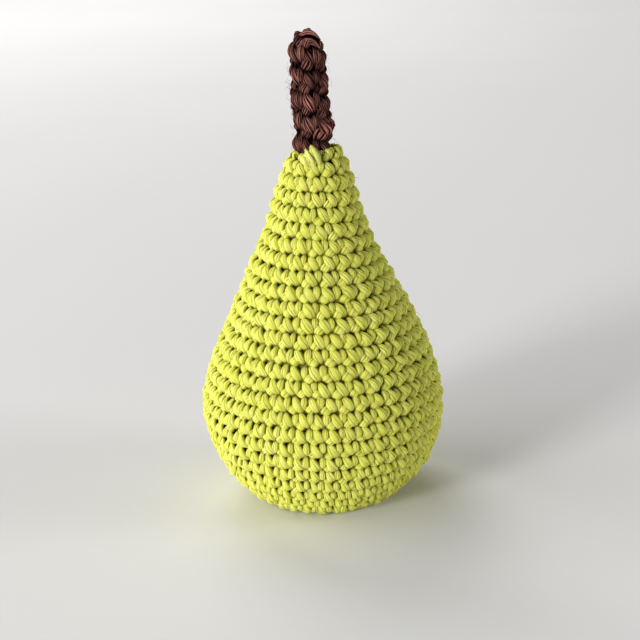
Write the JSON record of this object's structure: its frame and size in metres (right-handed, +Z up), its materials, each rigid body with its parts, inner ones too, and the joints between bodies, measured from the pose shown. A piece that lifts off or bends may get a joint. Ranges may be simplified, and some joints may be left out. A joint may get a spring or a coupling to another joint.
{
  "type": "crocheted toy pear",
  "caption": "Soft stuffed pear crocheted in rounds from lime cotton yarn, with an upright crocheted brown stem sewn into its neck; it stands on a small flat base.",
  "frame": {"origin": "middle of the flat base, on the surface that the pear stands on", "axes": "+Z up through the neck and stem, -Y towards the front, +X to the right seen from the front"},
  "size_m": [0.0924, 0.0926, 0.181],
  "materials": {
    "lime_yarn": "matt soft cotton yarn with parallel strands and a little fuzz",
    "brown_yarn": "matt soft cotton yarn in reddish brown",
    "fibre_filling": "loose white polyester fibre"
  },
  "bodies": {
    "root": {"cover": "lime_yarn", "filling": "fibre_filling", "stem": "brown_yarn", "sewing_stitch": "lime_yarn"}
  },
  "joints": []
}
